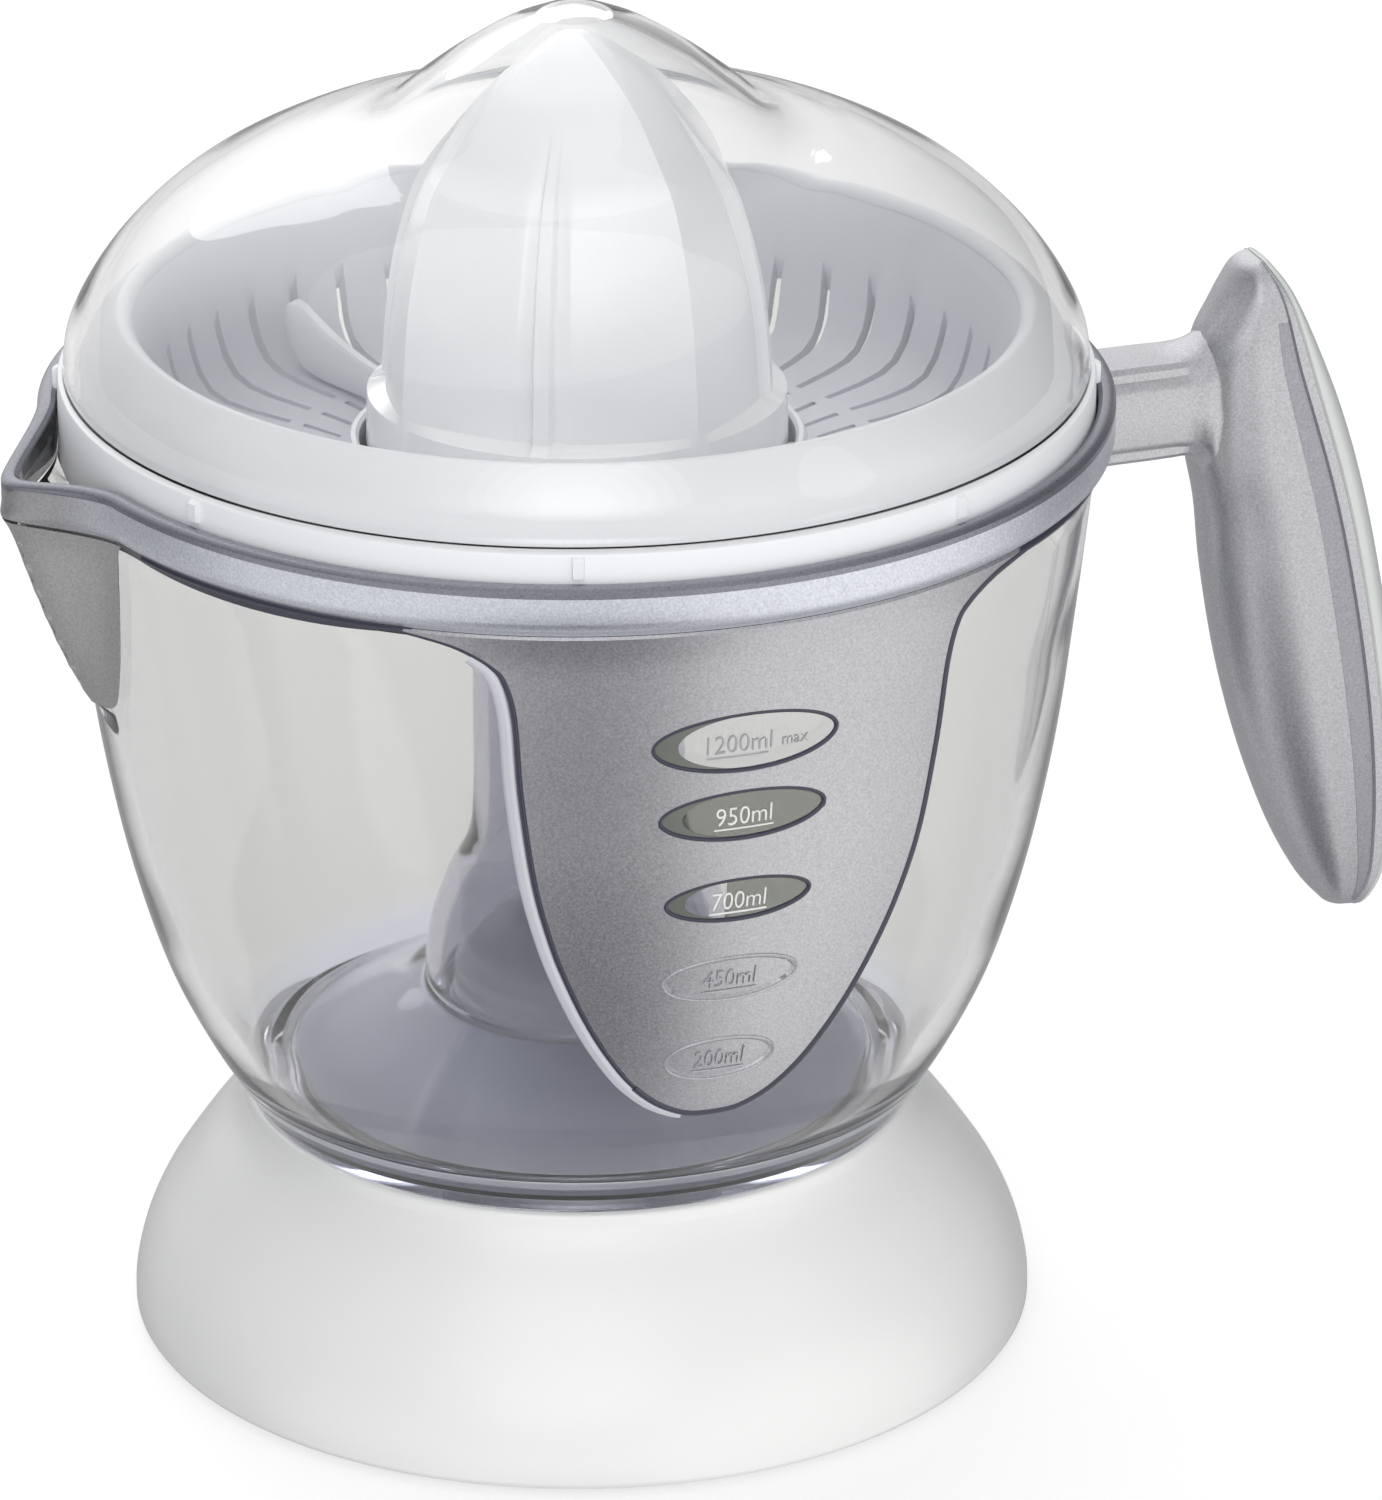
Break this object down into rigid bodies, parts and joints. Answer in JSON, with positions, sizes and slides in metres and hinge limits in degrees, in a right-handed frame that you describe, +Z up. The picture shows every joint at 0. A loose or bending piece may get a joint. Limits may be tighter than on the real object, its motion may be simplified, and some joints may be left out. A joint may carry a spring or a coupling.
{
  "type": "citrus press juicer",
  "caption": "Electric citrus press with a white domed motor base, clear spouted jug with side handle, slotted strainer, ribbed cone and clear lid.",
  "frame": {"origin": "on the drive axis, in the plane the juicer stands on", "axes": "+Z up along the drive axis, +X towards the handle, -X towards the spout, -Y towards the level windows"},
  "size_m": [0.2337, 0.169, 0.221],
  "materials": {
    "white_gloss": "glossy white moulding",
    "white_satin": "satin white moulding",
    "cool_white": "cool white food-safe moulding",
    "clear": "clear moulded plastic, partly silver coated",
    "clear_lid": "clear moulded plastic",
    "light_grey": "light silver-grey moulding",
    "soft_rubber": "matte",
    "steel": "plain steel",
    "plate_steel": "zinc-plated sheet",
    "core_steel": "stacked electrical steel, lacquered",
    "bobbin": "ivory moulding",
    "copper": "enamelled copper winding",
    "bronze": "sintered bronze",
    "magnet": "sintered ferrite",
    "gear_white": "natural acetal",
    "switch_black": "black moulding",
    "switch_red": "red moulding",
    "wire_blue": "blue insulation"
  },
  "bodies": {
    "base": {"base_housing": "white_gloss", "bottom_cover": "white_satin", "rest_ring": "soft_rubber", "cover_screws": "steel", "cord_gland": "soft_rubber", "motor_core": "core_steel", "coil_bobbins": "bobbin", "motor_coils": "copper", "core_rivets": "steel", "lower_bracket": "plate_steel", "gear_plate": "plate_steel", "motor_screws": "steel", "plate_screw": "steel", "first_axle": "steel", "second_axle": "steel", "lower_bush": "bronze", "upper_bush": "bronze", "shaft_seal": "soft_rubber", "switch_body": "switch_black", "terminal_block": "bobbin", "lead_wires": "wire_blue"},
    "rotor": {"rotor_magnet": "magnet", "rotor_shaft": "steel", "rotor_pinion": "gear_white"},
    "first_gear": {"first_gear": "gear_white"},
    "second_gear": {"second_gear": "gear_white"},
    "output_gear": {"output_gear": "gear_white", "return_spring": "steel"},
    "drive": {"drive_shaft": "steel", "spring_clip": "steel", "retaining_ring": "steel"},
    "switch_plunger": {"switch_plunger": "switch_red"},
    "jug": {"jug": "clear", "handle_cover": "light_grey"},
    "strainer": {"strainer": "cool_white"},
    "scraper": {"scraper": "cool_white"},
    "reamer": {"small_cone": "cool_white", "large_cone": "cool_white"},
    "lid": {"lid": "clear_lid"}
  },
  "joints": [
    {"name": "rotor_spin", "type": "hinge", "parent": "base", "child": "rotor", "pos_m": [-0.012, 0.035, 0], "axis": [0, 0, 1], "continuous": true},
    {"name": "first_gear_spin", "type": "hinge", "parent": "base", "child": "first_gear", "pos_m": [-0.02775, 0.035, 0], "axis": [0, 0, 1], "continuous": true},
    {"name": "second_gear_spin", "type": "hinge", "parent": "base", "child": "second_gear", "pos_m": [-0.02541, 0.01594, 0], "axis": [0, 0, 1], "continuous": true},
    {"name": "output_spin", "type": "hinge", "parent": "base", "child": "output_gear", "pos_m": [0, 0, 0], "axis": [0, 0, 1], "continuous": true},
    {"name": "shaft_press", "type": "slide", "parent": "output_gear", "child": "drive", "axis": [0, 0, 1], "range_m": [-0.0025, 0], "stiffness_N_per_m": 2000, "springref_m": 0.004, "deforming": ["return_spring"]},
    {"name": "switch_press", "type": "slide", "parent": "base", "child": "switch_plunger", "axis": [0, 0, 1], "range_m": [-0.0025, 0]},
    {"name": "jug_lift", "type": "slide", "parent": "base", "child": "jug", "axis": [0, 0, 1], "range_m": [0, 0.14]},
    {"name": "strainer_lift", "type": "slide", "parent": "jug", "child": "strainer", "axis": [0, 0, 1], "range_m": [0, 0.06]},
    {"name": "scraper_spin", "type": "hinge", "parent": "strainer", "child": "scraper", "pos_m": [0, 0, 0], "axis": [0, 0, 1], "continuous": true},
    {"name": "cone_press", "type": "slide", "parent": "scraper", "child": "reamer", "axis": [0, 0, 1], "range_m": [-0.0025, 0]},
    {"name": "lid_lift", "type": "slide", "parent": "strainer", "child": "lid", "axis": [0, 0, 1], "range_m": [0, 0.09]}
  ],
  "couplings": [
    {"joint": "first_gear_spin", "follows": "rotor_spin", "ratio": -0.36364},
    {"joint": "second_gear_spin", "follows": "rotor_spin", "ratio": 0.12121},
    {"joint": "output_spin", "follows": "rotor_spin", "ratio": -0.030303},
    {"joint": "scraper_spin", "follows": "rotor_spin", "ratio": -0.030303},
    {"joint": "switch_press", "follows": "shaft_press", "ratio": 1},
    {"joint": "cone_press", "follows": "shaft_press", "ratio": 1}
  ]
}
